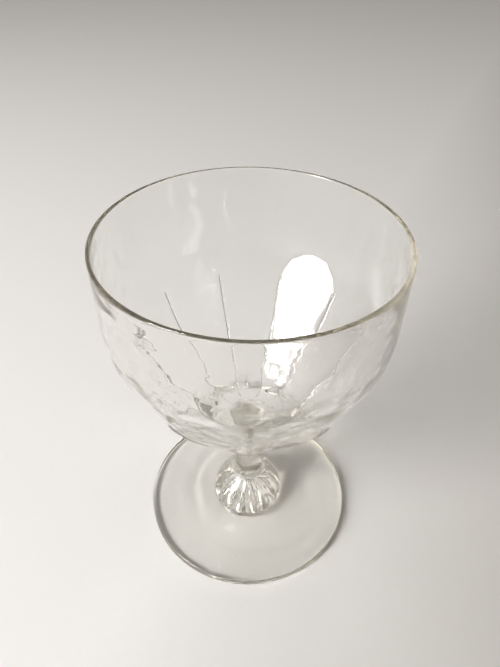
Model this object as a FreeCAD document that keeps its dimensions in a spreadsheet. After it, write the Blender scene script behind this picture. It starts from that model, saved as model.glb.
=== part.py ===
# Clear glass rummer: a petal-moulded bowl on a short stem, a ribbed dome and a round disc foot.
# Millimetres, +Z up. The origin is on the axis of the glass, in the plane that the foot rests on.

import FreeCAD, Part
import math
import os
import Sketcher

Vector = FreeCAD.Vector
doc = FreeCAD.newDocument("Rummer")

# Driving sizes: word, value in millimetres unless the note says otherwise, note
sizes = [
    ("overall_height", 126.2, "foot plane to the top of the lip"),
    ("rim_radius", 45.0, "outside of the lip, and curve of the plain bowl below it"),
    ("wall", 1.6, "thickness of the bowl's side"),
    ("lip_bevel", 0.45, "softening of both edges of the lip"),
    ("side_drop", 21.7, "lip down to where the upright upper wall starts to turn in"),
    ("plain_drop", 37.1, "lip down to where the plain bowl's curve ends in a straight run"),
    ("bowl_drop", 78.4, "lip down to the flat bottom of the bowl, outside"),
    ("floor_thickness", 3.8, "flat bottom to the lowest point of the inside"),
    ("floor_curve", 60.0, "radius of curve of the dished floor inside"),
    ("panel_count", 11, "number of petals round the bowl"),
    ("panel_turn", 24.95, "degrees, direction of the first petal's middle"),
    ("panel_drop", 30.7, "lip down to the top of the petals' arches"),
    ("panel_bend_drop", 42.2, "lip down to where a petal's straight upper part starts to curve"),
    ("panel_curve", 135.0, "radius of curve of the lower part of a petal, in side view"),
    ("panel_base_radius", 14.1, "distance of a petal's face from the axis at the flat bottom"),
    ("stem_radius", 5.3, "plain part of the stem"),
    ("shoulder_fillet", 4.5, "stem to bowl"),
    ("flare_fillet", 5.0, "stem to dome"),
    ("dome_radius", 13.6, "half round dome on the foot"),
    ("dome_seat", 5.6, "height of the dome's centre"),
    ("hub_height", 4.6, "top of the foot where it meets the dome"),
    ("hub_fillet", 1.8, "dome to foot"),
    ("foot_radius", 39.8, "outside of the foot"),
    ("foot_edge", 3.0, "thickness of the foot at its edge"),
    ("foot_bevel", 0.9, "softening of both corners of the foot's edge"),
    ("kick_radius", 21.0, "shallow hollow under the foot"),
    ("kick_depth", 0.9, "depth of the shallow hollow"),
    ("kick_slope", 4.0, "width of the hollow's sloping border"),
    ("recess_radius", 8.6, "mouth of the recess under the dome, between its ribs"),
    ("recess_height", 12.0, "top of the recess's round roof above the foot plane"),
    ("crown_radius", 5.2, "plain round crown where the flutes end"),
    ("flute_count", 14, "number of flutes cut into the recess's wall"),
    ("flute_width", 2.2, "width of a flute"),
    ("flute_depth", 1.1, "how far a flute goes beyond the recess's wall"),
]
sheet = doc.addObject("Spreadsheet::Sheet", "Sizes")
for row, (word, value, note) in enumerate(sizes, start=1):
    sheet.set("A%d" % row, word)
    sheet.set("B%d" % row, str(value))
    sheet.set("C%d" % row, note)
    sheet.setAlias("B%d" % row, word)
doc.recompute()
size = {word: value for word, value, note in sizes}
pointNames = ("edge", "start", "end", "centre")


def originFeature(owner, role):
    """The plane or axis of a body's own origin that has this role."""
    for feature in owner.Origin.OriginFeatures:
        if feature.Role == role:
            return feature
    raise RuntimeError("no origin feature " + role)


def newSketch(owner, name):
    """An empty sketch on the upright plane: x runs out from the axis, y runs up."""
    sketch = owner.newObject("Sketcher::SketchObject", name)
    sketch.AttachmentSupport = [(originFeature(owner, "XZ_Plane"), "")]
    sketch.MapMode = "FlatFace"
    return sketch


def addLine(sketch, start, end, guide=False):
    return sketch.addGeometry(Part.LineSegment(start, end), guide)


def addArc(sketch, centre, radius, start, end, guide=False):
    """An anticlockwise arc between two points that lie on the circle."""
    first = math.atan2(start.y - centre.y, start.x - centre.x)
    last = math.atan2(end.y - centre.y, end.x - centre.x)
    if last < first:
        last += 2 * math.pi
    circle = Part.Circle(centre, Vector(0, 0, 1), radius)
    return sketch.addGeometry(Part.ArcOfCircle(circle, first, last), guide)


def join(sketch, kind, first, firstPoint, second, secondPoint):
    places = (first, pointNames.index(firstPoint), second, pointNames.index(secondPoint))
    sketch.addConstraint(Sketcher.Constraint(kind, *places))


def chain(sketch, steps):
    """Closes a run of lines and arcs: each step is kind, item, its last point, next item, its first."""
    for step in steps:
        join(sketch, *step)


def level(sketch, *lines):
    for line in lines:
        sketch.addConstraint(Sketcher.Constraint("Horizontal", line))


def upright(sketch, *lines):
    for line in lines:
        sketch.addConstraint(Sketcher.Constraint("Vertical", line))


def onAxis(sketch, item, point):
    """Puts a point on the sketch's upright axis, which is the axis of the glass."""
    sketch.addConstraint(Sketcher.Constraint("PointOnObject", item, pointNames.index(point), -2))


def atOrigin(sketch, item, point):
    sketch.addConstraint(Sketcher.Constraint("Coincident", item, pointNames.index(point), -1, 1))


def bind(sketch, kind, places, value, expression):
    """A dimension that follows the sheet: a radius, or a distance from the sketch's origin."""
    index = sketch.addConstraint(Sketcher.Constraint(kind, *places, value))
    sketch.renameConstraint(index, "dim%d" % index)
    sketch.setExpression("Constraints.dim%d" % index, expression)


def across(sketch, item, point, value, expression):
    """Distance of a point from the axis."""
    bind(sketch, "DistanceX", (-1, 1, item, pointNames.index(point)), value, expression)


def height(sketch, item, point, value, expression):
    bind(sketch, "DistanceY", (-1, 1, item, pointNames.index(point)), value, expression)


def toward(centre, target, radius):
    return centre + Vector(target.sub(centre)).normalize() * radius


def turn(owner, name, kind, sketch):
    """Turns a half section round the axis, to add or to cut."""
    feature = owner.newObject("PartDesign::" + kind, name)
    feature.Profile = sketch
    feature.ReferenceAxis = (sketch, ["V_Axis"])
    feature.Angle = 360
    doc.recompute()


def cutRound(owner, name, patternName, sketch, width, count):
    """Cuts one flat-sided pocket, midway about the sketch, and repeats it round the axis."""
    pocket = owner.newObject("PartDesign::Pocket", name)
    pocket.Profile = sketch
    pocket.Midplane = True
    pocket.setExpression("Length", width)
    doc.recompute()
    pattern = owner.newObject("PartDesign::PolarPattern", patternName)
    pattern.Originals = [pocket]
    pattern.Axis = (originFeature(owner, "Z_Axis"), [""])
    pattern.Angle = 360
    pattern.setExpression("Occurrences", count)
    owner.Tip = pattern
    doc.recompute()


# Heights that the lip carries
topHeight = size["overall_height"]
sideHeight = topHeight - size["side_drop"]
baseHeight = topHeight - size["bowl_drop"]
sideCentre = Vector(0, sideHeight, 0)
axisFoot = Vector(0, 0, 0)


def runTop(inset):
    """Where the plain bowl's curve ends in a straight run, on the outside or set in by the wall."""
    radius = size["rim_radius"] - inset
    fall = (size["plain_drop"] - size["side_drop"]) * radius / size["rim_radius"]
    return Vector(math.sqrt(radius ** 2 - fall ** 2), sideHeight - fall, 0)


def runPoint(inset, fallen):
    """A point of the straight run, this far down from its top."""
    top = runTop(inset)
    outward = top.sub(sideCentre)
    return top + Vector(outward.y / outward.x, -1, 0) * fallen


def plainSide(sketch, low, inset, insetText):
    """The straight run, the round curve and the upright wall of the plain bowl."""
    radius = size["rim_radius"] - inset
    wallLow = Vector(radius, sideHeight, 0)
    wallHigh = Vector(radius, topHeight - size["lip_bevel"], 0)
    run = addLine(sketch, low, runTop(inset))
    curve = addArc(sketch, sideCentre, radius, runTop(inset), wallLow)
    wall = addLine(sketch, wallLow, wallHigh)
    join(sketch, "Tangent", run, "end", curve, "start")
    join(sketch, "Tangent", curve, "end", wall, "start")
    upright(sketch, wall)
    onAxis(sketch, curve, "centre")
    across(sketch, wall, "start", radius, "Sizes.rim_radius" + insetText)
    height(sketch, wall, "start", wallLow.y, "Sizes.overall_height - Sizes.side_drop")
    height(sketch, wall, "end", wallHigh.y, "Sizes.overall_height - Sizes.lip_bevel")
    fallText = "(Sizes.plain_drop - Sizes.side_drop) * (Sizes.rim_radius%s) / Sizes.rim_radius" % insetText
    runText = "Sizes.overall_height - Sizes.side_drop - " + fallText
    height(sketch, curve, "start", runTop(inset).y, runText)
    return run, wall


# Turned outline: foot, dome, stem and the bowl's blank in one closed half section
outside = doc.addObject("PartDesign::Body", "Outside")
outline = newSketch(outside, "TurnedOutline")
domeCentre = Vector(0, size["dome_seat"], 0)
shoulderCentre = Vector(size["stem_radius"], baseHeight, 0) + Vector(1, -1, 0) * size["shoulder_fillet"]
flareX = size["stem_radius"] + size["flare_fillet"]
flareReach = size["dome_radius"] + size["flare_fillet"]
flareCentre = Vector(flareX, domeCentre.y + math.sqrt(flareReach ** 2 - flareX ** 2), 0)
hubReach = size["dome_radius"] + size["hub_fillet"]
hubY = size["hub_height"] + size["hub_fillet"]
hubCentre = Vector(math.sqrt(hubReach ** 2 - (hubY - domeCentre.y) ** 2), hubY, 0)

bevelX = size["foot_radius"] - size["foot_bevel"]
footFlat = Vector(bevelX, 0, 0)
edgeLow = Vector(size["foot_radius"], size["foot_bevel"], 0)
edgeHigh = Vector(size["foot_radius"], size["foot_edge"] - size["foot_bevel"], 0)
footTop = Vector(bevelX, size["foot_edge"], 0)
hubRun = footTop.sub(hubCentre)
hubTurn = math.atan2(hubRun.y, hubRun.x) - math.acos(size["hub_fillet"] / hubRun.Length)
hubOuter = hubCentre + Vector(math.cos(hubTurn), math.sin(hubTurn), 0) * size["hub_fillet"]
hubInner = toward(domeCentre, hubCentre, size["dome_radius"])
flareLow = toward(domeCentre, flareCentre, size["dome_radius"])
stemLow = Vector(size["stem_radius"], flareCentre.y, 0)
stemHigh = Vector(size["stem_radius"], shoulderCentre.y, 0)
baseInner = Vector(shoulderCentre.x, baseHeight, 0)
baseOuter = runPoint(0, runTop(0).y - baseHeight)
bevelLow = Vector(size["rim_radius"], topHeight - size["lip_bevel"], 0)
bevelHigh = Vector(size["rim_radius"] - size["lip_bevel"], topHeight, 0)
axisHigh = Vector(0, topHeight, 0)

restLine = addLine(outline, axisFoot, footFlat)
lowBevel = addLine(outline, footFlat, edgeLow)
footEdge = addLine(outline, edgeLow, edgeHigh)
highBevel = addLine(outline, edgeHigh, footTop)
footLine = addLine(outline, footTop, hubOuter)
hubArc = addArc(outline, hubCentre, size["hub_fillet"], hubInner, hubOuter)
domeArc = addArc(outline, domeCentre, size["dome_radius"], hubInner, flareLow)
flareArc = addArc(outline, flareCentre, size["flare_fillet"], stemLow, flareLow)
stemLine = addLine(outline, stemLow, stemHigh)
shoulderArc = addArc(outline, shoulderCentre, size["shoulder_fillet"], baseInner, stemHigh)
baseLine = addLine(outline, baseInner, baseOuter)
runLine, wallLine = plainSide(outline, baseOuter, 0, "")
bevelLine = addLine(outline, bevelLow, bevelHigh)
topLine = addLine(outline, bevelHigh, axisHigh)
axisLine = addLine(outline, axisHigh, axisFoot)
chain(outline, [
    ("Coincident", restLine, "end", lowBevel, "start"),
    ("Coincident", lowBevel, "end", footEdge, "start"),
    ("Coincident", footEdge, "end", highBevel, "start"),
    ("Coincident", highBevel, "end", footLine, "start"),
    ("Tangent", footLine, "end", hubArc, "end"),
    ("Tangent", hubArc, "start", domeArc, "start"),
    ("Tangent", domeArc, "end", flareArc, "end"),
    ("Tangent", flareArc, "start", stemLine, "start"),
    ("Tangent", stemLine, "end", shoulderArc, "end"),
    ("Tangent", shoulderArc, "start", baseLine, "start"),
    ("Coincident", baseLine, "end", runLine, "start"),
    ("Coincident", wallLine, "end", bevelLine, "start"),
    ("Coincident", bevelLine, "end", topLine, "start"),
    ("Coincident", topLine, "end", axisLine, "start"),
    ("Coincident", axisLine, "end", restLine, "start"),
])
atOrigin(outline, restLine, "start")
level(outline, restLine, baseLine, topLine)
upright(outline, footEdge, stemLine, axisLine)
onAxis(outline, domeArc, "centre")
across(outline, restLine, "end", bevelX, "Sizes.foot_radius - Sizes.foot_bevel")
across(outline, footEdge, "start", edgeLow.x, "Sizes.foot_radius")
height(outline, footEdge, "start", edgeLow.y, "Sizes.foot_bevel")
height(outline, footEdge, "end", edgeHigh.y, "Sizes.foot_edge - Sizes.foot_bevel")
across(outline, footLine, "start", bevelX, "Sizes.foot_radius - Sizes.foot_bevel")
height(outline, footLine, "start", footTop.y, "Sizes.foot_edge")
bind(outline, "Radius", (hubArc,), size["hub_fillet"], "Sizes.hub_fillet")
bind(outline, "Radius", (domeArc,), size["dome_radius"], "Sizes.dome_radius")
bind(outline, "Radius", (flareArc,), size["flare_fillet"], "Sizes.flare_fillet")
bind(outline, "Radius", (shoulderArc,), size["shoulder_fillet"], "Sizes.shoulder_fillet")
height(outline, hubArc, "centre", hubY, "Sizes.hub_height + Sizes.hub_fillet")
height(outline, domeArc, "centre", domeCentre.y, "Sizes.dome_seat")
across(outline, stemLine, "start", stemLow.x, "Sizes.stem_radius")
height(outline, baseLine, "start", baseHeight, "Sizes.overall_height - Sizes.bowl_drop")
across(outline, bevelLine, "end", bevelHigh.x, "Sizes.rim_radius - Sizes.lip_bevel")
height(outline, bevelLine, "end", bevelHigh.y, "Sizes.overall_height")
turn(outside, "Turned", "Revolution", outline)

# Side view of a petal's face: a straight upper part that runs into a long curve
panelTop = Vector(0, topHeight - size["panel_drop"], 0)
panelTop.x = math.sqrt(size["rim_radius"] ** 2 - (sideHeight - panelTop.y) ** 2)
panelBottom = Vector(size["panel_base_radius"], baseHeight, 0)
clearOfBowl = 1.3 * size["rim_radius"]


def bendOfPetal():
    """Where the straight part meets the curve, the curve's centre and the straight part's way up."""
    low, high = panelBottom.x, panelTop.x
    for step in range(60):
        point = Vector((low + high) / 2, topHeight - size["panel_bend_drop"], 0)
        rise = Vector(panelTop.sub(point)).normalize()
        centre = point + Vector(-rise.y, rise.x, 0) * size["panel_curve"]
        if panelBottom.sub(centre).Length > size["panel_curve"]:
            low = point.x
        else:
            high = point.x
    return point, centre, rise


bend, petalCentre, petalRise = bendOfPetal()


def petalSide(owner, name, inset, insetText):
    """What is cut away outside a petal's face, which is the outer one or lies inside it by the wall."""
    sketch = newSketch(owner, name)
    guideArc = addArc(sketch, petalCentre, size["panel_curve"], panelBottom, bend, True)
    guideLine = addLine(sketch, bend, panelTop, True)
    join(sketch, "Tangent", guideArc, "end", guideLine, "start")
    bind(sketch, "Radius", (guideArc,), size["panel_curve"], "Sizes.panel_curve")
    across(sketch, guideArc, "start", panelBottom.x, "Sizes.panel_base_radius")
    height(sketch, guideArc, "start", panelBottom.y, "Sizes.overall_height - Sizes.bowl_drop")
    height(sketch, guideLine, "start", bend.y, "Sizes.overall_height - Sizes.panel_bend_drop")
    height(sketch, guideLine, "end", panelTop.y, "Sizes.overall_height - Sizes.panel_drop")
    topText = "sqrt(Sizes.rim_radius ^ 2 - (Sizes.panel_drop - Sizes.side_drop) ^ 2)"
    across(sketch, guideLine, "end", panelTop.x, topText)

    radius = size["panel_curve"] - inset
    faceBend = toward(petalCentre, bend, radius)
    depth = panelBottom.y - petalCentre.y
    faceLow = Vector(petalCentre.x + math.sqrt(radius ** 2 - depth ** 2), panelBottom.y, 0)
    faceHigh = faceBend + petalRise * ((clearOfBowl - faceBend.x) / petalRise.x)
    below = panelBottom.y - size["wall"]
    outerLow = Vector(clearOfBowl, below, 0)
    innerLow = Vector(faceLow.x, below, 0)
    faceArc = addArc(sketch, petalCentre, radius, faceLow, faceBend)
    faceLine = addLine(sketch, faceBend, faceHigh)
    outerLine = addLine(sketch, faceHigh, outerLow)
    lowLine = addLine(sketch, outerLow, innerLow)
    riseLine = addLine(sketch, innerLow, faceLow)
    chain(sketch, [
        ("Coincident", guideArc, "centre", faceArc, "centre"),
        ("Tangent", faceArc, "end", faceLine, "start"),
        ("Coincident", faceLine, "end", outerLine, "start"),
        ("Coincident", outerLine, "end", lowLine, "start"),
        ("Coincident", lowLine, "end", riseLine, "start"),
        ("Coincident", riseLine, "end", faceArc, "start"),
    ])
    sketch.addConstraint(Sketcher.Constraint("Parallel", guideLine, faceLine))
    upright(sketch, outerLine, riseLine)
    level(sketch, lowLine)
    bind(sketch, "Radius", (faceArc,), radius, "Sizes.panel_curve" + insetText)
    height(sketch, faceArc, "start", faceLow.y, "Sizes.overall_height - Sizes.bowl_drop")
    height(sketch, lowLine, "start", below, "Sizes.overall_height - Sizes.bowl_drop - Sizes.wall")
    across(sketch, faceLine, "end", clearOfBowl, "1.3 * Sizes.rim_radius")
    return sketch


petalSketch = petalSide(outside, "PetalSide", 0, "")
cutRound(outside, "Petal", "Petals", petalSketch, "2 * Sizes.rim_radius", "Sizes.panel_count")

# Shallow hollow under the foot, so that the foot stands on a ring
kick = newSketch(outside, "KickOutline")
kickEdge = Vector(size["kick_radius"], 0, 0)
kickTop = Vector(0, size["kick_depth"], 0)
kickCorner = Vector(size["kick_radius"] - size["kick_slope"], size["kick_depth"], 0)
kickSlope = addLine(kick, kickEdge, kickCorner)
kickRoof = addLine(kick, kickCorner, kickTop)
kickAxis = addLine(kick, kickTop, axisFoot)
kickFlat = addLine(kick, axisFoot, kickEdge)
chain(kick, [
    ("Coincident", kickSlope, "end", kickRoof, "start"),
    ("Coincident", kickRoof, "end", kickAxis, "start"),
    ("Coincident", kickAxis, "end", kickFlat, "start"),
    ("Coincident", kickFlat, "end", kickSlope, "start"),
])
atOrigin(kick, kickFlat, "start")
level(kick, kickFlat, kickRoof)
upright(kick, kickAxis)
across(kick, kickFlat, "end", kickEdge.x, "Sizes.kick_radius")
across(kick, kickSlope, "end", kickCorner.x, "Sizes.kick_radius - Sizes.kick_slope")
height(kick, kickAxis, "start", kickTop.y, "Sizes.kick_depth")
turn(outside, "Kick", "Groove", kick)


def roofAt(mouth, crown, reach):
    """A round roof from the mouth's edge to the crown: its height at this reach, and its radius."""
    radius = (mouth ** 2 + crown ** 2) / (2 * crown)
    return crown - radius + math.sqrt(radius ** 2 - reach ** 2), radius


def domedHollow(name, grow, growText, inner, innerText):
    """Side view of a round-roofed hollow on the foot plane: the recess, or the same grown for a flute."""
    sketch = newSketch(outside, name)
    mouth = Vector(size["recess_radius"] + grow, 0, 0)
    crown = size["recess_height"] + grow
    roofHeight, radius = roofAt(mouth.x, crown, inner)
    roofEnd = Vector(inner, roofHeight, 0)
    innerFoot = Vector(inner, 0, 0)
    roof = addArc(sketch, Vector(0, crown - radius, 0), radius, mouth, roofEnd)
    side = addLine(sketch, roofEnd, innerFoot)
    flat = addLine(sketch, innerFoot, mouth)
    chain(sketch, [
        ("Coincident", roof, "end", side, "start"),
        ("Coincident", side, "end", flat, "start"),
        ("Coincident", flat, "end", roof, "start"),
    ])
    sketch.addConstraint(Sketcher.Constraint("PointOnObject", flat, pointNames.index("start"), -1))
    level(sketch, flat)
    upright(sketch, side)
    onAxis(sketch, roof, "centre")
    across(sketch, flat, "end", mouth.x, "Sizes.recess_radius" + growText)
    across(sketch, side, "end", inner, innerText)
    radiusText = "((Sizes.recess_radius%s) ^ 2 + (Sizes.recess_height%s) ^ 2)" % (growText, growText)
    radiusText += " / (2 * (Sizes.recess_height%s))" % growText
    bind(sketch, "Radius", (roof,), radius, radiusText)
    return sketch


# Ribbed recess under the dome: a turned hollow, a plain crown, then flutes cut into its wall
recessSketch = domedHollow("RecessOutline", 0, "", 0, "0")
turn(outside, "Recess", "Groove", recessSketch)
fluteText = " + Sizes.flute_depth"
innerText = "Sizes.crown_radius - Sizes.flute_depth"
innerReach = size["crown_radius"] - size["flute_depth"]
fluteSketch = domedHollow("FluteSide", size["flute_depth"], fluteText, innerReach, innerText)
crownSketch = newSketch(outside, "CrownOutline")
crownTop = size["recess_height"] + size["flute_depth"]
crownPoints = [axisFoot, Vector(size["crown_radius"], 0, 0),
               Vector(size["crown_radius"], crownTop, 0), Vector(0, crownTop, 0)]
crownLines = [addLine(crownSketch, crownPoints[index - 1], crownPoints[index]) for index in range(4)]
for index in range(4):
    join(crownSketch, "Coincident", crownLines[index - 1], "end", crownLines[index], "start")
atOrigin(crownSketch, crownLines[0], "end")
upright(crownSketch, crownLines[0], crownLines[2])
level(crownSketch, crownLines[1], crownLines[3])
across(crownSketch, crownLines[2], "end", size["crown_radius"], "Sizes.crown_radius")
height(crownSketch, crownLines[2], "end", crownTop, "Sizes.recess_height + Sizes.flute_depth")
turn(outside, "Crown", "Groove", crownSketch)
cutRound(outside, "Flute", "Flutes", fluteSketch, "Sizes.flute_width", "Sizes.flute_count")

# Inside of the bowl: the same plain bowl and petals, set in by the wall, on a dished floor
inside = doc.addObject("PartDesign::Body", "Inside")
insideSketch = newSketch(inside, "InsideOutline")
wallText = " - Sizes.wall"
floorPoint = Vector(0, baseHeight + size["floor_thickness"], 0)
floorCentre = floorPoint + Vector(0, size["floor_curve"], 0)


def floorMeet():
    """Where the dished floor meets the straight run of the inside."""
    low, high = 0, runTop(size["wall"]).y - floorPoint.y
    for step in range(60):
        fallen = (low + high) / 2
        point = runPoint(size["wall"], fallen)
        if point.sub(floorCentre).Length > size["floor_curve"]:
            high = fallen
        else:
            low = fallen
    return point


floorOuter = floorMeet()
mouthRadius = size["rim_radius"] - size["wall"]
flareStart = Vector(mouthRadius, topHeight - size["lip_bevel"], 0)
flareEnd = Vector(mouthRadius + 2 * size["lip_bevel"], topHeight + size["lip_bevel"], 0)
mouthTop = Vector(0, flareEnd.y, 0)
floorArc = addArc(insideSketch, floorCentre, size["floor_curve"], floorPoint, floorOuter)
innerRun, innerWall = plainSide(insideSketch, floorOuter, size["wall"], wallText)
flareLine = addLine(insideSketch, flareStart, flareEnd)
mouthLine = addLine(insideSketch, flareEnd, mouthTop)
innerAxis = addLine(insideSketch, mouthTop, floorPoint)
chain(insideSketch, [
    ("Coincident", floorArc, "end", innerRun, "start"),
    ("Coincident", innerWall, "end", flareLine, "start"),
    ("Coincident", flareLine, "end", mouthLine, "start"),
    ("Coincident", mouthLine, "end", innerAxis, "start"),
    ("Coincident", innerAxis, "end", floorArc, "start"),
])
level(insideSketch, mouthLine)
onAxis(insideSketch, floorArc, "centre")
onAxis(insideSketch, innerAxis, "start")
onAxis(insideSketch, innerAxis, "end")
bind(insideSketch, "Radius", (floorArc,), size["floor_curve"], "Sizes.floor_curve")
floorText = "Sizes.overall_height - Sizes.bowl_drop + Sizes.floor_thickness"
height(insideSketch, innerAxis, "end", floorPoint.y, floorText)
flareText = "Sizes.rim_radius - Sizes.wall + 2 * Sizes.lip_bevel"
across(insideSketch, flareLine, "end", flareEnd.x, flareText)
height(insideSketch, flareLine, "end", flareEnd.y, "Sizes.overall_height + Sizes.lip_bevel")
turn(inside, "Hollow", "Revolution", insideSketch)
innerPetalSketch = petalSide(inside, "InnerPetalSide", size["wall"], wallText)
cutRound(inside, "InnerPetal", "InnerPetals", innerPetalSketch, "2 * Sizes.rim_radius",
         "Sizes.panel_count")

# The glass: its outside less the inside of the bowl
rummer = doc.addObject("Part::Cut", "rummer")
rummer.Label = "rummer"
rummer.Base = outside
rummer.Tool = inside
rummer.Placement = FreeCAD.Placement(Vector(0, 0, 0), Vector(0, 0, 1), size["panel_turn"])
doc.recompute()

for item in doc.Objects:
    if "Invalid" in item.State or "Error" in item.State:
        raise RuntimeError(item.Name + " failed to compute")
shape = rummer.Shape
if shape.isNull() or not shape.isValid() or len(shape.Solids) != 1:
    raise RuntimeError("the rummer is not one valid solid")
for item in doc.Objects:
    if item.TypeId == "Sketcher::SketchObject":
        print(item.Name, "fully constrained:", item.FullyConstrained)
print("volume %.1f mm3, faces %d, height %.2f" % (shape.Volume, len(shape.Faces), shape.BoundBox.ZMax))

os.makedirs("parts", exist_ok=True)
shape.exportStep("parts/%s.step" % rummer.Label)
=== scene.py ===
import bpy
import math
from mathutils import Matrix, Vector, noise


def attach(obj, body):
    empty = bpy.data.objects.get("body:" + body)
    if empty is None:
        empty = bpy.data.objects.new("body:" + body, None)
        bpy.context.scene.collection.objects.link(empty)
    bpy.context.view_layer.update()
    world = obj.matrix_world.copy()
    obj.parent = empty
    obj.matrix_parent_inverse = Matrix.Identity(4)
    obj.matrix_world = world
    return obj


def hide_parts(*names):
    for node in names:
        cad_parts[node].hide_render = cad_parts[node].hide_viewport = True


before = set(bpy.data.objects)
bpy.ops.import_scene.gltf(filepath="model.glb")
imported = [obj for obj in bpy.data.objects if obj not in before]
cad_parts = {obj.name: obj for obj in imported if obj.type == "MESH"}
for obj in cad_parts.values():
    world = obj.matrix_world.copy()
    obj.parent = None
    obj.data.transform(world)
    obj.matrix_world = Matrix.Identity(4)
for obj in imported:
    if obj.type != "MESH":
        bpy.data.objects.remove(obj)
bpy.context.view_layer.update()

print("frame loaded")

mm = 0.001
quarter = math.pi / 2

# plain turned form in millimetres: radii and heights of the half section
glassForm = {
    "height": 126.2,
    "rimRadius": 45.0,
    "wall": 1.45,
    "lip": 1.2,                 # thickness of the wall just under the lip
    "lipRounding": 0.57,
    "lipTaper": 9.0,            # height over which the wall thins to the lip
    "sideHeight": 104.5,        # upright wall above, round bowl below
    "plainEnd": 89.1,           # the round bowl ends here in a straight run
    "baseHeight": 47.8,         # flat bottom of the bowl
    "baseRounding": 1.6,
    "floorThickness": 3.8,
    "floorCurve": 60.0,         # radius of the dished floor inside
    "floorRounding": 9.0,
    "stemRadius": 5.3,
    "shoulderFillet": 4.5,      # between stem and bowl
    "flareFillet": 5.0,         # between stem and dome
    "domeRadius": 13.6,
    "domeSeat": 5.6,            # height of the dome's centre
    "hubHeight": 4.6,           # top of the foot where it meets the dome
    "hubFillet": 1.8,
    "footRadius": 39.8,
    "footThickness": 3.4,
    "footRounding": 0.6,
    "kickRadius": 21.0,         # shallow hollow under the foot
    "kickSlope": 4.0,
    "kickDepth": 0.9,
    "closest": 0.001,           # points of the section nearer than this are one
    "axis": 0.01,               # a ring smaller than this is one point
}

# steps along each stretch of the section, and points round the glass
cuts = {
    "recess": 22,
    "kick": 4,
    "rest": 4,
    "edgeRounding": 5,
    "edge": 2,
    "footTop": 38,
    "hub": 5,
    "dome": 16,
    "flare": 6,
    "stem": 4,
    "shoulder": 7,
    "base": 4,
    "baseRounding": 5,
    "bowl": 72,
    "wall": 20,
    "lip": 4,
    "innerWall": 8,
    "innerBowl": 48,
    "floorRounding": 6,
    "floor": 9,
    "besideRidge": [0, 0.3, 0.6, 0.95, 1.35, 1.8, 2.4, 3.4],    # in widths of the raised line
    "acrossPetal": 7,
    "faceHalvings": 40,
    "filletHalvings": 50,
}


def evenly(first, last, count):
    return [first + (last - first) * i / count for i in range(count + 1)]


def arcPoints(centre, radius, first, last, count):
    return [(centre[0] + radius * math.cos(angle), centre[1] + radius * math.sin(angle))
            for angle in evenly(first, last, count)]


def linePoints(start, end, count):
    return list(zip(evenly(start[0], end[0], count), evenly(start[1], end[1], count)))


def angleTo(centre, target):
    return math.atan2(target[1] - centre[1], target[0] - centre[0])


def clamped(value):
    return max(0, min(1, value))


# moulded petals round the lower bowl, outside and again inside
petals = {
    "count": 11,
    "turn": math.radians(24.95),
    "top": 95.5,                # top of each arch
    "topRadius": 44.09,
    "bend": 84.0,               # straight above, curved below
    "bendRadius": 38.757,
    "curve": 135.0,
    "baseRadius": 14.1,
    "outerSoftness": 0.07,      # rounding where two petals meet
    "innerSoftness": 0.45,
    "floorFade": 3,             # higher: the petals die out sooner on the floor inside
    "outOfReach": 99.0,         # plain radius where nothing but petals shapes the ring
    "beadHeight": 0.50,         # fine raised line along each ridge
    "beadWidth": math.radians(0.60),
    "beadTop": 85.5,
    "beadFade": 0.35,
    "beadStart": 3,             # the line is full a third of the way out under the bowl
    "beadOut": 0.5,
    "beadDown": 0.8,
}


def petalCentre():
    rise = petals["top"] - petals["bend"]
    lean = math.atan2(petals["topRadius"] - petals["bendRadius"], rise)
    return (petals["bendRadius"] - petals["curve"] * math.cos(lean),
            petals["bend"] + petals["curve"] * math.sin(lean), lean)


def facePoint(height, inset):
    # middle of a petal's face in side view, set in by this much; straight near the arch, curved below
    centreX, centreY, lean = petalCentre()
    if height >= petals["bend"]:
        radius = petals["bendRadius"] + (height - petals["bend"]) * math.tan(lean)
        slope = lean
    else:
        radius = centreX + math.sqrt(petals["curve"] ** 2 - (height - centreY) ** 2)
        slope = math.asin((centreY - height) / petals["curve"])
    return radius - inset * math.cos(slope), height + inset * math.sin(slope), slope


def faceRadius(height, inset):
    # the same face as a radius at a given height
    low, high = height - 2 * inset - 1, height + 1
    for step in range(cuts["faceHalvings"]):
        middle = (low + high) / 2
        if facePoint(middle, inset)[1] > height:
            high = middle
        else:
            low = middle
    return facePoint(low, inset)[0]


def plainRadius(height, inset):
    # the round bowl before its petals
    radius = glassForm["rimRadius"] - inset
    side, end = glassForm["sideHeight"], glassForm["plainEnd"]
    fall = (side - end) * radius / glassForm["rimRadius"]
    if height >= side:
        return radius
    if height >= side - fall:
        return math.sqrt(radius ** 2 - (side - height) ** 2)
    reach = math.sqrt(radius ** 2 - fall ** 2)
    return reach - (side - fall - height) * fall / reach


def floorFillet(form):
    # rounding between the inside of the petals and the dished floor: its centre, both its ends,
    # and the centre of the dish
    rounding, curve = form["floorRounding"], form["floorCurve"]
    crown = (0, form["baseHeight"] + form["floorThickness"] + curve)
    low, high = form["baseHeight"] + 1, petals["bend"]
    for step in range(cuts["filletHalvings"]):
        middle = (low + high) / 2
        x, y = facePoint(middle, form["wall"] + rounding)[:2]
        if math.hypot(x - crown[0], y - crown[1]) > curve - rounding:
            low = middle
        else:
            high = middle
    down = angleTo(crown, (x, y))
    onFloor = (crown[0] + curve * math.cos(down), crown[1] + curve * math.sin(down))
    return (x, y), facePoint(middle, form["wall"])[:2], onFloor, crown


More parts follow.
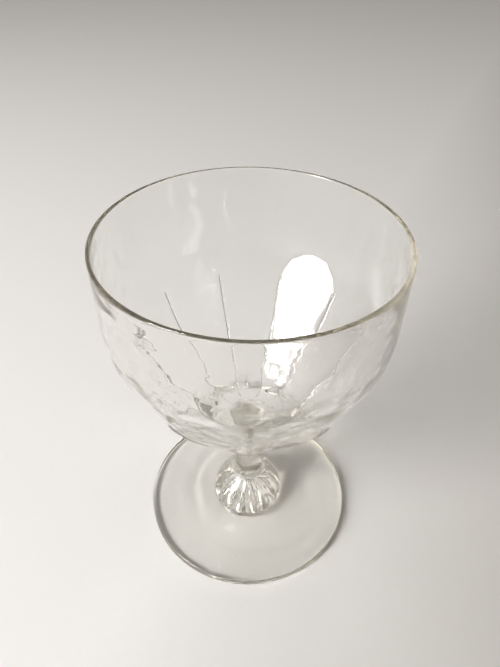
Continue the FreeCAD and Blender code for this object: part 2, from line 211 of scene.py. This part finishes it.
# ribbed hollow under the dome
recess = {
    "radius": 8.6,
    "curve": 14.0,
    "flutes": 14,
    "fluteDepth": 1.2,
    "fluteRoundness": 0.7,      # lower: broader flutes
    "crownRadius": 2.5,         # the flutes die out inside this
    "rise": 14,                 # height in which the unevenness below changes
    "stray": 2.2,               # how far the flutes stray from even spacing
    "strayRound": 2.2,
    "uneven": 0.9,              # how much their depth varies
    "unevenRound": 3.1,
    "unevenShift": 5,
    "grain": 0.55,
    "grainRound": 9.0,
}


def glassSection(form):
    # half section from the recess under the foot, round the outside to the lip and down the inside
    kickFlat = form["kickRadius"] - form["kickSlope"]
    cave = (recess["radius"] - recess["curve"], form["kickDepth"])
    apexAngle = math.acos(-cave[0] / recess["curve"])
    mouth = (recess["radius"], form["kickDepth"])

    soft = form["footRounding"]
    edge = (form["footRadius"] - soft, soft)
    upper = (edge[0], form["footThickness"] - soft)
    dome = (0, form["domeSeat"])
    hubFillet = form["hubFillet"]
    hubY = form["hubHeight"] + hubFillet
    hub = (math.sqrt((form["domeRadius"] + hubFillet) ** 2 - (hubY - dome[1]) ** 2), hubY)
    slope = math.atan2(form["hubHeight"] - form["footThickness"], edge[0] - hub[0])
    topStart = (upper[0] + soft * math.sin(slope), upper[1] + soft * math.cos(slope))
    topEnd = (hub[0] - hubFillet * math.sin(slope), hub[1] - hubFillet * math.cos(slope))

    stem = form["stemRadius"]
    flareX = stem + form["flareFillet"]
    flareY = dome[1] + math.sqrt((form["domeRadius"] + form["flareFillet"]) ** 2 - flareX ** 2)
    flare = (flareX, flareY)
    shoulder = (stem + form["shoulderFillet"], form["baseHeight"] - form["shoulderFillet"])

    rounding = form["baseRounding"]
    baseSlope = quarter - facePoint(form["baseHeight"], 0)[2]
    run = rounding * math.tan(baseSlope / 2)
    base = (petals["baseRadius"] - run, form["baseHeight"] + rounding)
    faceStart = form["baseHeight"] + rounding * (1 - math.cos(baseSlope))
    side = form["sideHeight"]
    fillet, onFace, onFloor, crown = floorFillet(form)
    outerHeights = evenly(faceStart, side, cuts["bowl"])
    innerHeights = evenly(side, onFace[1], cuts["innerBowl"])

    lip = form["lipRounding"]
    lipCentre = (form["rimRadius"] - lip, form["height"] - lip)
    innerLip = (form["rimRadius"] - form["lip"] + lip, lipCentre[1])
    inner = form["rimRadius"] - form["wall"]
    taperEnd = lipCentre[1] - form["lipTaper"]

    stretches = [
        ("recess", arcPoints(cave, recess["curve"], apexAngle, 0, cuts["recess"])),
        ("kick", linePoints(mouth, (kickFlat, form["kickDepth"]), cuts["kick"])),
        ("kick", linePoints((kickFlat, form["kickDepth"]), (form["kickRadius"], 0), cuts["kick"])),
        ("rest", linePoints((form["kickRadius"], 0), (edge[0], 0), cuts["rest"])),
        ("edge", arcPoints(edge, soft, -quarter, 0, cuts["edgeRounding"])),
        ("edge", linePoints((form["footRadius"], soft), (form["footRadius"], upper[1]),
                            cuts["edge"])),
        ("edge", arcPoints(upper, soft, 0, quarter - slope, cuts["edgeRounding"])),
        ("footTop", linePoints(topStart, topEnd, cuts["footTop"])),
        ("hub", arcPoints(hub, hubFillet, -quarter - slope, angleTo(hub, dome), cuts["hub"])),
        ("dome", arcPoints(dome, form["domeRadius"], angleTo(dome, hub), angleTo(dome, flare),
                           cuts["dome"])),
        ("flare", arcPoints(flare, form["flareFillet"], angleTo(flare, dome), -math.pi,
                            cuts["flare"])),
        ("stem", linePoints((stem, flare[1]), (stem, shoulder[1]), cuts["stem"])),
        ("shoulder", arcPoints(shoulder, form["shoulderFillet"], math.pi, quarter,
                               cuts["shoulder"])),
        ("base", linePoints((shoulder[0], form["baseHeight"]), (base[0], form["baseHeight"]),
                            cuts["base"])),
        ("base", arcPoints(base, rounding, -quarter, baseSlope - quarter, cuts["baseRounding"])),
        ("bowl", [(plainRadius(height, 0), height) for height in outerHeights]),
        ("wall", linePoints((form["rimRadius"], side), (form["rimRadius"], lipCentre[1]),
                            cuts["wall"])),
        ("lip", arcPoints(lipCentre, lip, 0, quarter, cuts["lip"])),
        ("lip", arcPoints(innerLip, lip, quarter, math.pi, cuts["lip"])),
        ("innerWall", linePoints((innerLip[0] - lip, lipCentre[1]), (inner, taperEnd),
                                 cuts["innerWall"])),
        ("innerWall", linePoints((inner, taperEnd), (inner, side), cuts["innerWall"])),
        ("innerBowl", [(plainRadius(height, form["wall"]), height) for height in innerHeights]),
        ("innerFloor", arcPoints(fillet, form["floorRounding"], angleTo(fillet, onFace),
                                 angleTo(fillet, onFloor), cuts["floorRounding"])),
        ("innerFloor", arcPoints(crown, form["floorCurve"], angleTo(crown, onFloor), -quarter,
                                 cuts["floor"])),
    ]
    section = []
    for name, points in stretches:
        for x, y in points:
            last = section[-1] if section else None
            if not last or math.hypot(x - last[1], y - last[2]) > form["closest"]:
                section.append((name, x, y))
    return section


def softLeast(values, softness):
    # the least of the values, with the corners between them rounded
    least = min(values)
    total = sum(math.exp(-(value - least) / softness) for value in values)
    return least - softness * math.log(total)


def roundAngles():
    # points round the glass, close together along each ridge between two petals
    pitch = 2 * math.pi / petals["count"]
    fine = [petals["beadWidth"] * step for step in cuts["besideRidge"]]
    offsets = fine + evenly(fine[-1], pitch / 2, cuts["acrossPetal"])[1:]
    angles = []
    for petal in range(petals["count"]):
        ridge = petals["turn"] + pitch * (petal + 0.5)
        angles += [ridge - offset for offset in reversed(offsets[1:-1])]
        angles += [ridge + offset for offset in offsets]
    return angles


def ridgeOffset(angle):
    # signed angle from the nearest ridge
    pitch = 2 * math.pi / petals["count"]
    return (angle - petals["turn"]) % pitch - pitch / 2


def petalRing(middle, plain, angle, softness):
    # radius of the nearest two petals or of the plain bowl, whichever is least
    pitch = 2 * math.pi / petals["count"]
    local = pitch / 2 - abs(ridgeOffset(angle))
    return softLeast([plain, middle / math.cos(local), middle / math.cos(pitch - local)], softness)


def beadAt(angle, height):
    strength = 1 / (1 + math.exp((height - petals["beadTop"]) / petals["beadFade"]))
    across = ridgeOffset(angle) / petals["beadWidth"]
    return petals["beadHeight"] * strength * math.exp(-across ** 2)


# unevenness left by hand: its size and rise in millimetres, how busy it is round the glass, how much
# stronger inside, and which way the pattern is moved there so that the two sides differ
ripples = {
    # broad level bands left by the tool
    "bands": {"size": 0.040, "rise": 5.5, "round": 1.3, "inside": 1, "aside": (1, 0)},
    # short ripples just under the rim
    "rim": {"size": 0.068, "rise": 4.4, "round": 4.6, "inside": 1, "aside": (1, 0)},
    # broad and small unevenness of the round part
    "bowl": {"size": 0.110, "rise": 5.2, "round": 7.5, "inside": 3, "aside": (0, 1)},
    "fine": {"size": 0.032, "rise": 5.0, "round": 14, "inside": 2.4, "aside": (1, 1)},
    # upright streaks
    "streaks": {"size": 0.028, "rise": 60, "round": 9, "inside": 1, "aside": (0, 1)},
    "insideShift": 9.0,
    "rimHeight": 117,           # the short ripples are strongest here
    "rimSpread": 7.5,
    "bowlTop": 103,             # the round part's unevenness fades out here
    "bowlFade": 2.5,
    "plainLip": 0.8,            # no ripples this near the lip
    "lipFade": 3,
}


def rippleAt(kind, around, shift, height):
    ripple = ripples[kind]
    acrossX, acrossY = ripple["aside"]
    move = Vector((shift * acrossX, shift * acrossY, height / ripple["rise"]))
    return noise.noise(around * ripple["round"] + move) * (ripple["inside"] if shift else 1)


def handWork(name, angle, height):
    around = Vector((math.cos(angle), math.sin(angle), 0))
    shift = ripples["insideShift"] if name.startswith("inner") else 0.0
    nearRim = math.exp(-((height - ripples["rimHeight"]) / ripples["rimSpread"]) ** 2)
    inBowl = 1 / (1 + math.exp((height - ripples["bowlTop"]) / ripples["bowlFade"]))
    bands = ripples["bands"]["size"] * rippleAt("bands", around, shift, height)
    rim = ripples["rim"]["size"] * nearRim * rippleAt("rim", around, shift, height)
    bowl = ripples["bowl"]["size"] * rippleAt("bowl", around, shift, height)
    fine = ripples["fine"]["size"] * rippleAt("fine", around, shift, height)
    streaks = ripples["streaks"]["size"] * rippleAt("streaks", around, shift, height)
    return bands + rim + inBowl * (bowl + fine) + streaks


# soft rings in the top of the foot, in millimetres
footRings = {
    "height": 0.60,
    "spacing": 4.6,
    "wander": 0.4,              # how much a ring varies on its way round
    "plainEdge": 1,             # none this near the edge
    "fade": 4,
}


def glassPoint(name, radius, height, angle, form, floorEdge):
    # the turned form with its petals, flutes and unevenness: radius and height at this angle
    if name == "recess":
        around = Vector((math.cos(angle), math.sin(angle), height / recess["rise"]))
        stray = recess["stray"] * noise.noise(around * recess["strayRound"])
        wave = math.cos(recess["flutes"] * angle + stray)
        aside = Vector((recess["unevenShift"], 0, 0))
        depth = 1 + recess["uneven"] * noise.noise(around * recess["unevenRound"] + aside)
        flute = recess["fluteDepth"] * max(0, wave) ** recess["fluteRoundness"]
        grain = recess["grain"] * noise.noise(around * recess["grainRound"])
        return radius + clamped(radius / recess["crownRadius"]) * depth * (flute + grain), height
    if name == "footTop":
        wander = footRings["wander"]
        wave = noise.noise(Vector((radius / footRings["spacing"],
                                   math.cos(angle) * wander, math.sin(angle) * wander)))
        fade = clamped((form["footRadius"] - footRings["plainEdge"] - radius) / footRings["fade"])
        return radius, height + footRings["height"] * wave * fade
    if name == "base":
        start = form["stemRadius"] + form["shoulderFillet"]
        share = clamped((radius - start) / (petals["baseRadius"] - start))
        out = petalRing(radius, petals["outOfReach"], angle, petals["outerSoftness"])
        bead = beadAt(angle, height) * clamped(share * petals["beadStart"])
        return (radius + (out - radius) * share + petals["beadOut"] * bead,
                height - petals["beadDown"] * bead * (1 - share))
    if name == "bowl":
        out = petalRing(facePoint(height, 0)[0], radius, angle, petals["outerSoftness"])
        return out + beadAt(angle, height) + handWork(name, angle, height), height
    if name == "innerBowl":
        out = petalRing(faceRadius(height, form["wall"]), radius, angle, petals["innerSoftness"])
        return out + handWork(name, angle, height), height
    if name == "innerFloor":
        share = clamped(radius / floorEdge) ** petals["floorFade"]
        out = petalRing(radius, petals["outOfReach"], angle, petals["innerSoftness"])
        return radius + (out - radius) * share + handWork(name, angle, height) * share, height
    if name in ("wall", "innerWall"):
        fade = clamped((form["height"] - ripples["plainLip"] - height) / ripples["lipFade"])
        return radius + handWork(name, angle, height) * fade, height
    return radius, height


def glassMesh(form):
    # one closed mesh: rings from the top of the recess, round the lip, to the middle of the floor
    angles = roundAngles()
    steps = len(angles)
    floorEdge = floorFillet(form)[1][0]
    vertices, faces, rings = [], [], []
    for name, radius, height in glassSection(form):
        if radius < form["axis"]:
            rings.append([len(vertices)])
            vertices.append((0, 0, height * mm))
            continue
        ring = []
        for angle in angles:
            out, level = glassPoint(name, radius, height, angle, form, floorEdge)
            ring.append(len(vertices))
            vertices.append((out * math.cos(angle) * mm, out * math.sin(angle) * mm, level * mm))
        rings.append(ring)
    for low, high in zip(rings, rings[1:]):
        for step in range(steps):
            after = (step + 1) % steps
            if len(low) == 1:
                faces.append((low[0], high[after], high[step]))
            elif len(high) == 1:
                faces.append((low[step], low[after], high[0]))
            else:
                faces.append((low[step], low[after], high[after], high[step]))
    mesh = bpy.data.meshes.new("glassBody")
    mesh.from_pydata(vertices, [], faces)
    mesh.validate()
    mesh.update()
    for polygon in mesh.polygons:
        polygon.use_smooth = True
    print("glass:", len(rings), "rings of", steps)
    return mesh


def newMaterial(name):
    material = bpy.data.materials.new(name)
    material.use_nodes = True
    return material, material.node_tree.nodes, material.node_tree.links


def setSockets(node, values):
    for socket, value in values.items():
        node.inputs[socket].default_value = value


# clear soda glass
glassFinish = {
    "shader": {
        "Base Color": (0.995, 0.995, 0.99, 1),
        "Roughness": 0.0,
        "IOR": 1.5,
        "Transmission Weight": 1.0,
    },
    "depth": {"Color": (0.50, 0.46, 0.34, 1), "Density": 17.0},     # light lost in thick glass
    "waves": {"scale": (60, 60, 190), "detail": 2.0},
    "combed": {"scale": (520, 520, 45), "detail": 1.0},             # fine streaks low in the bowl
    "combedStrength": 3.2,
    "combedTop": (0.085, 0.066),        # they come in between these heights, in metres
    "combedFoot": (0.045, 0.052),       # and are full above the second of these
    "bump": {"Strength": 0.3, "Distance": 0.0002},
}


def clearGlass():
    material, nodes, links = newMaterial("clearSodaGlass")
    place = nodes.new("ShaderNodeTexCoord")
    axes = nodes.new("ShaderNodeSeparateXYZ")
    links.new(place.outputs["Object"], axes.inputs["Vector"])

    def noiseOf(scale, detail):
        stretch = nodes.new("ShaderNodeMapping")
        grain = nodes.new("ShaderNodeTexNoise")
        setSockets(stretch, {"Scale": scale})
        setSockets(grain, {"Scale": 1.0, "Detail": detail})
        links.new(place.outputs["Object"], stretch.inputs["Vector"])
        links.new(stretch.outputs["Vector"], grain.inputs["Vector"])
        return grain.outputs["Fac"]

    def between(none, full):
        # 0 at the first height, 1 at the second
        spread = nodes.new("ShaderNodeMapRange")
        spread.interpolation_type = "SMOOTHSTEP"
        setSockets(spread, {"From Min": none, "From Max": full})
        links.new(axes.outputs["Z"], spread.inputs["Value"])
        return spread.outputs["Result"]

    def product(first, second):
        times = nodes.new("ShaderNodeMath")
        times.operation = "MULTIPLY"
        links.new(first, times.inputs[0])
        links.new(second, times.inputs[1])
        return times.outputs["Value"]

    waves = noiseOf(**glassFinish["waves"])
    belowTop = product(noiseOf(**glassFinish["combed"]), between(*glassFinish["combedTop"]))
    combed = product(belowTop, between(*glassFinish["combedFoot"]))
    relief = nodes.new("ShaderNodeMath")
    relief.operation = "MULTIPLY_ADD"
    relief.inputs[1].default_value = glassFinish["combedStrength"]
    links.new(combed, relief.inputs[0])
    links.new(waves, relief.inputs[2])
    bump = nodes.new("ShaderNodeBump")
    setSockets(bump, glassFinish["bump"])
    links.new(relief.outputs["Value"], bump.inputs["Height"])
    shader = nodes["Principled BSDF"]
    setSockets(shader, glassFinish["shader"])
    links.new(bump.outputs["Normal"], shader.inputs["Normal"])
    depth = nodes.new("ShaderNodeVolumeAbsorption")
    setSockets(depth, glassFinish["depth"])
    links.new(depth.outputs["Volume"], nodes["Material Output"].inputs["Volume"])
    return material


glass = bpy.data.objects.new("rummerGlass", glassMesh(glassForm))
bpy.context.collection.objects.link(glass)
glass.data.materials.append(clearGlass())
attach(glass, "root")
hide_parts("rummer")
print("glass made")

# card floor in metres: its own pale colour, with painted shade that makes it a little darker towards
# the right and the front, where less light falls
paper = {
    "width": 6.0,
    "near": -3.0,
    "far": 3.0,
    "drop": 0.0002,             # gap under the foot, so that card and glass don't share a plane
    "roughness": 0.9,
    "colour": (0.93, 0.92, 0.905, 1),
    # painted shade: the darker colour the card blends into towards the right and the front, standing
    # in for weaker light there
    "shade": (0.66, 0.645, 0.62, 1),
    "shadeTowards": (1.0, -0.5, 0),
    "shadeFrom": -0.02,
    "shadeFull": 0.12,
}


def paperMaterial():
    material, nodes, links = newMaterial("paleCard")
    shader = nodes["Principled BSDF"]
    place = nodes.new("ShaderNodeTexCoord")
    along = nodes.new("ShaderNodeVectorMath")
    spread = nodes.new("ShaderNodeMapRange")
    mix = nodes.new("ShaderNodeMix")
    along.operation = "DOT_PRODUCT"
    along.inputs[1].default_value = paper["shadeTowards"]
    mix.data_type = "RGBA"
    setSockets(shader, {"Roughness": paper["roughness"]})
    setSockets(spread, {"From Min": paper["shadeFrom"], "From Max": paper["shadeFull"]})
    # the card's own colour blends into painted shade along shadeTowards
    setSockets(mix, {"A": paper["colour"], "B": paper["shade"]})
    links.new(place.outputs["Object"], along.inputs[0])
    links.new(along.outputs["Value"], spread.inputs["Value"])
    links.new(spread.outputs["Result"], mix.inputs["Factor"])
    links.new(mix.outputs["Result"], shader.inputs["Base Color"])
    return material


floorMesh = bpy.data.meshes.new("cardFloor")
half = paper["width"] / 2
floorMesh.from_pydata([(-half, paper["near"], 0), (half, paper["near"], 0),
                       (half, paper["far"], 0), (-half, paper["far"], 0)], [], [(0, 1, 2, 3)])
floorMesh.update()
cardFloor = bpy.data.objects.new("cardFloor", floorMesh)
cardFloor.location.z = -paper["drop"]
bpy.context.collection.objects.link(cardFloor)
floorMesh.materials.append(paperMaterial())

# brightness of the room by height: pale low walls, a darker band, then the ceiling
room = {
    "bands": [(0.00, 0.50), (0.42, 0.46), (0.49, 0.03), (0.68, 0.03), (0.78, 0.30), (1.00, 0.30)],
    "warmth": (1.0, 0.95, 0.88),
    "strength": 1.0,
}
world = bpy.data.worlds.new("room")
bpy.context.scene.world = world
world.use_nodes = True
nodes, links = world.node_tree.nodes, world.node_tree.links
background = nodes["Background"]
background.inputs["Strength"].default_value = room["strength"]
direction = nodes.new("ShaderNodeTexCoord")
axes = nodes.new("ShaderNodeSeparateXYZ")
ramp = nodes.new("ShaderNodeValToRGB")
stops = ramp.color_ramp.elements
ready = len(stops)              # a new ramp already has its first two stops
for number, (height, grey) in enumerate(room["bands"]):
    stop = stops[number] if number < ready else stops.new(height)
    stop.position = height
    stop.color = [grey * tone for tone in room["warmth"]] + [1]
links.new(direction.outputs["Generated"], axes.inputs["Vector"])
links.new(axes.outputs["Z"], ramp.inputs["Fac"])
links.new(ramp.outputs["Color"], background.inputs["Color"])

# soft upright window at the left
window = {
    "direction": (-0.82, -0.57, 0.0),
    "distance": 1.10,
    "sill": 0.16,
    "width": 0.34,
    "tall": 1.25,
    "power": 28.0,
    "colour": (1.0, 0.985, 0.97),
}
light = bpy.data.lights.new("windowLight", "AREA")
light.shape = "RECTANGLE"
light.size = window["width"]
light.size_y = window["tall"]
light.energy = window["power"]
light.color = window["colour"]
lamp = bpy.data.objects.new("windowLight", light)
aim = Vector(window["direction"]).normalized()
lamp.location = aim * window["distance"] + Vector((0, 0, window["sill"] + window["tall"] / 2))
lamp.rotation_euler = aim.to_track_quat("Z", "Y").to_euler()
bpy.context.collection.objects.link(lamp)

# camera, and how light is followed through the glass
view = {
    "place": (0.0, -0.13104, 0.20297),
    "down": 40.8,
    "roll": 0.89,
    "lens": 29.12,
    "sensor": 36.0,
    "nearest": 0.005,
    "bounces": 64,              # light runs down inside the wall from the lip
    "glossyFilter": 0,          # both off, so that light reaches the card under the foot
    "indirectClamp": 0,
}
camera = bpy.data.cameras.new("camera")
camera.lens = view["lens"]
camera.sensor_width = view["sensor"]
camera.clip_start = view["nearest"]
eye = bpy.data.objects.new("camera", camera)
eye.location = view["place"]
eye.rotation_euler = (Matrix.Rotation(math.radians(90 - view["down"]), 3, "X")
                      @ Matrix.Rotation(math.radians(view["roll"]), 3, "Z")).to_euler()
bpy.context.collection.objects.link(eye)
bpy.context.scene.camera = eye
bpy.context.scene.view_settings.view_transform = "Standard"
cycles = bpy.context.scene.cycles
cycles.max_bounces = view["bounces"]
cycles.transmission_bounces = view["bounces"]
cycles.glossy_bounces = view["bounces"]
cycles.blur_glossy = view["glossyFilter"]
cycles.sample_clamp_indirect = view["indirectClamp"]
print("stage, light and camera made")
